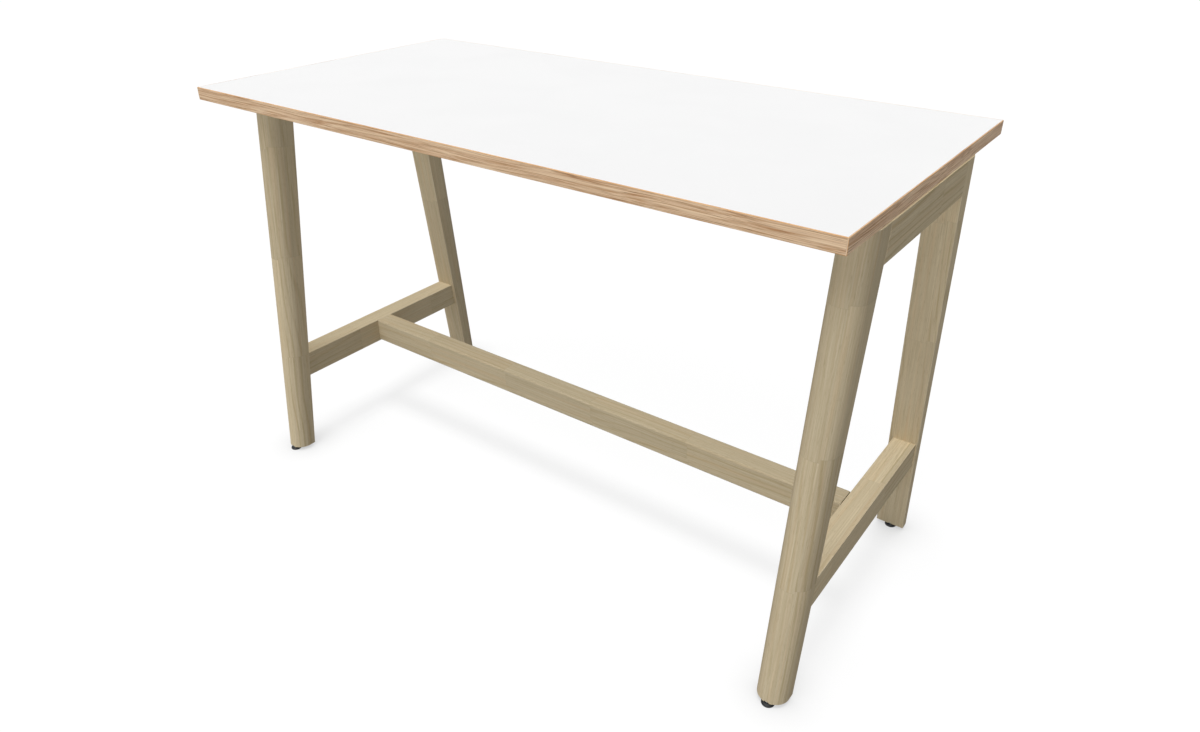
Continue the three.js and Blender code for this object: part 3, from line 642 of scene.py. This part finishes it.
white_laminate = pressed_laminate("white_laminate_satin_pressed",
                                  colour=0xF7F7F7, shaded=0xF5F5F5, rough=0.38)
backing_laminate = pressed_laminate("backing_laminate_matt_pressed",
                                    colour=0xE9E8E4, shaded=0xE2E0DB, rough=0.55)
chipboard = pressed_chipboard("particle_board_pressed")
beech_across = planed_beech("beech_planed_along_y", 1)
beech_along = planed_beech("beech_planed_along_x", 0)
plastic = moulded_plastic("black_polyamide_moulded")
steel = plated_steel("steel_zinc_plated")
brass = turned_brass("brass_turned")

# Table top. Only the lippings at its left and right run to the corners and show their end grain.
BAND_SEEDS = {"front": 0.0, "rear": 3.7, "left": 8.1, "right": 10.4}
END_GRAIN_LEVEL = 349.5 * MM
NO_END_GRAIN = 1.0
dress("top_laminate", white_laminate)
dress("underside_laminate", backing_laminate)
dress("top_core", chipboard)
for end, sign in ENDS.items():
    node = f"edge_band_{end}"
    lipping = oak_lipping(f"oak_lipping_trimmed_{end}", 0, NO_END_GRAIN, BAND_SEEDS[end])
    crisp = [Vector((1, 0, 0)), Vector((-1, 0, 0)), Vector((0, -sign, 0))]
    place_piece(f"{node}_lipping", eased(node, BAND_EASE, crisp), lipping, "frame", node)
for side, sign in SIDES.items():
    node = f"edge_band_{side}"
    lipping = oak_lipping(f"oak_lipping_trimmed_{side}", 1, END_GRAIN_LEVEL, BAND_SEEDS[side])
    crisp = [Vector((-sign, 0, 0))]
    place_piece(f"{node}_lipping", eased(node, BAND_EASE, crisp), lipping, "frame", node)

# Legs and the bars between them: the seed of the staves they are glued from, the shift of the joints and the
# tone, all as near as the photograph shows them. The tone is partly the wood's own and partly painted light
# for how brightly each piece is lit.
ALONG_Y = (math.radians(90), 0, 0)
ALONG_X = (0, math.radians(-90), 0)
LEGS = {
    "front_left": (57561, 0.0, 1.05),
    "front_right": (9265, 0.0, 1.01),
    "rear_left": (10658, 5 * MM, 1.0),
    "rear_right": (33, 0.0, 1.14),
}
for corner, (seed, shift, tone) in LEGS.items():
    end, side = corner.split("_")
    node = f"leg_{corner}"
    middle = (middle_of(node).x, ENDS[end] * LEG_MIDDLE_AT_FLOOR, 0)
    turn = (-ENDS[end] * LEG_GRAIN_LEAN, 0, 0)
    ash = lacquered_ash(f"ash_lacquered_{node}", middle, turn, seed, shift, tone)
    place_piece(f"{node}_wood", eased(node, LEG_EASE), ash, "frame", node)
BARS = {
    "top_rail_left": (60, 0.0, 1.04),
    "top_rail_right": (19557, 55 * MM, 1.12),
    "stretcher_left": (86, -90 * MM, 1.0),
    "stretcher_right": (215, 78 * MM, 1.12),
}
LEGWARD = [Vector((0, 1, 0)), Vector((0, -1, 0))]
for node, (seed, shift, tone) in BARS.items():
    ash = lacquered_ash(f"ash_lacquered_{node}", middle_of(node), ALONG_Y, seed, shift, tone)
    place_piece(f"{node}_wood", eased(node, BAR_EASE, LEGWARD), ash, "frame", node)
BEAM = (130, 55 * MM, 0.97)
node = "footrest_beam"
ash = lacquered_ash(f"ash_lacquered_{node}", middle_of(node), ALONG_X, *BEAM)
place_piece(f"{node}_wood", eased(node, BAR_EASE), ash, "frame", node)

# Levelling feet, spacers and fixings
for corner in CORNERS:
    place_piece(f"foot_pad_{corner}_moulding", foot_pad(f"foot_pad_{corner}"), plastic,
                f"pad_{corner}", f"foot_pad_{corner}")
    place_piece(f"foot_stud_{corner}_threaded", foot_stud(f"foot_stud_{corner}"), steel,
                f"stud_{corner}", f"foot_stud_{corner}")
    place_piece(f"top_spacer_{corner}_ring", spacer_ring(f"top_spacer_{corner}"), plastic,
                "frame", f"top_spacer_{corner}")
    dress(f"foot_insert_{corner}", brass)
    dress(f"top_insert_{corner}", brass)
    dress(f"top_bolt_{corner}", steel)
    dress(f"rail_tenon_{corner}", beech_across)
    dress(f"stretcher_tenon_{corner}", beech_across)
    dress(f"beam_dowel_{corner}", beech_along)
for side in SIDES:
    place_piece(f"beam_bolt_{side}_threaded", beam_rod(f"beam_bolt_{side}"), steel, "frame",
                f"beam_bolt_{side}")
    place_piece(f"beam_nut_{side}_chamfered", eased(f"beam_nut_{side}", NUT_EASE), steel,
                "frame", f"beam_nut_{side}")
    dress(f"beam_washer_{side}", steel)


def show_white(tree):
    """1 for rays that show the background, straight on, mirrored or through glass, and 0 for light."""
    path = add(tree, "ShaderNodeLightPath").outputs
    seen = add(tree, "ShaderNodeMath", {0: path["Is Camera Ray"], 1: path["Is Glossy Ray"]},
               operation="MAXIMUM").outputs[0]
    return add(tree, "ShaderNodeMath", {0: seen, 1: path["Is Transmission Ray"]},
               operation="MAXIMUM").outputs[0]


# Floor: painted plain, shown white with the soft shadow left on it and a painted shade next to the feet,
# and open to a look from below
FLOOR_SEEN = linear(0x505050)
FLOOR_UNSEEN = linear(0x636363)
floor_mesh = bpy.data.meshes.new("floor")
floor_corners = [(x * FLOOR_HALF, y * FLOOR_HALF, 0) for x, y in ((-1, -1), (1, -1), (1, 1), (-1, 1))]
floor_mesh.from_pydata(floor_corners, [], [(0, 1, 2, 3)])
floor = bpy.data.objects.new("floor", floor_mesh)
bpy.context.scene.collection.objects.link(floor)
floor_paint = bpy.data.materials.new("studio_floor_painted")
floor_paint.use_nodes = True
tree = floor_paint.node_tree
tree.nodes.clear()
white = show_white(tree)
# Painted shade: ambient occlusion within FLOOR_CONTACT darkens the floor's colour and glow next to the feet
near = add(tree, "ShaderNodeAmbientOcclusion", {"Distance": FLOOR_CONTACT},
           samples=FLOOR_SAMPLES).outputs["AO"]
painted_contact_shade = add(tree, "ShaderNodeMath", {0: near, 1: FLOOR_PAINTED_SHADE_DEPTH, 2: 1 - FLOOR_PAINTED_SHADE_DEPTH},
              operation="MULTIPLY_ADD").outputs[0]
shown = add(tree, "ShaderNodeVectorMath", {0: FLOOR_SEEN[:3], "Scale": painted_contact_shade}, operation="SCALE").outputs[0]
paint = add(tree, "ShaderNodeMix", {0: white, MIX_A: FLOOR_UNSEEN, MIX_B: shown},
            data_type="RGBA").outputs[MIX_RESULT]
glow = add(tree, "ShaderNodeMath", {0: white, 1: FLOOR_LIFT}, operation="MULTIPLY").outputs[0]
lift = add(tree, "ShaderNodeMath", {0: glow, 1: painted_contact_shade}, operation="MULTIPLY").outputs[0]
above = add(tree, "ShaderNodeBsdfPrincipled", {"Base Color": paint, "Roughness": 1.0,
                                               "Specular IOR Level": 0.0,
                                               "Emission Color": (1, 1, 1, 1), "Emission Strength": lift})
below = add(tree, "ShaderNodeBsdfTransparent")
under = add(tree, "ShaderNodeNewGeometry").outputs["Backfacing"]
either = add(tree, "ShaderNodeMixShader", {0: under, 1: above.outputs[0], 2: below.outputs[0]})
add(tree, "ShaderNodeOutputMaterial", {"Surface": either.outputs[0]})
floor_mesh.materials.append(floor_paint)

# Sky: plain ambient light, shown white
world = bpy.data.worlds.new("studio")
bpy.context.scene.world = world
world.use_nodes = True
tree = world.node_tree
tree.nodes.clear()
level = add(tree, "ShaderNodeMapRange", {"Value": show_white(tree), "To Min": SKY_LEVEL,
                                         "To Max": 1.0}).outputs[0]
sky = add(tree, "ShaderNodeBackground", {"Color": (1, 1, 1, 1), "Strength": level})
add(tree, "ShaderNodeOutputWorld", {"Surface": sky.outputs[0]})


def hang_lamp(name, share, spread):
    """A far lamp that gives a face square to it the share of full light that its vector has."""
    lamp = bpy.data.lights.new(name, "SUN")
    lamp.energy = share.length * math.pi
    lamp.angle = spread
    stand = bpy.data.objects.new(name, lamp)
    stand.rotation_mode = "QUATERNION"
    stand.rotation_quaternion = share.to_track_quat("Z", "Y")
    bpy.context.scene.collection.objects.link(stand)
    return stand


open_lamp = hang_lamp("open_lamp", OPEN_LAMP, LAMP_SPREAD)
open_lamp.data.use_shadow = False
hang_lamp("shadow_lamp", SHADOW_LAMP, LAMP_SPREAD)
floor_lamp = hang_lamp("floor_lamp", FLOOR_LAMP, FLOOR_LAMP_SPREAD)
lit_floor = bpy.data.collections.new("lit_floor")
lit_floor.objects.link(floor)
low_pieces = [f"leg_{corner}_wood" for corner in CORNERS]
low_pieces += [f"stretcher_{side}_wood" for side in SIDES]
low_pieces += [f"foot_pad_{corner}_moulding" for corner in CORNERS]
low_pieces.append("footrest_beam_wood")
low_frame = bpy.data.collections.new("low_frame")
for name in low_pieces:
    low_frame.objects.link(bpy.data.objects[name])
floor_lamp.light_linking.receiver_collection = lit_floor
floor_lamp.light_linking.blocker_collection = low_frame

# Camera
camera_data = bpy.data.cameras.new("camera")
camera_data.sensor_fit = "HORIZONTAL"
camera_data.sensor_width = CAMERA_SENSOR
camera_data.lens = CAMERA_LENS
camera = bpy.data.objects.new("camera", camera_data)
camera.location = CAMERA_PLACE
looking = Vector((-math.sin(CAMERA_TURN) * math.cos(CAMERA_DIP),
                  math.cos(CAMERA_TURN) * math.cos(CAMERA_DIP),
                  -math.sin(CAMERA_DIP)))
camera.rotation_mode = "QUATERNION"
camera.rotation_quaternion = looking.to_track_quat("-Z", "Y")
bpy.context.scene.collection.objects.link(camera)
bpy.context.scene.camera = camera
bpy.context.scene.view_settings.view_transform = "Standard"
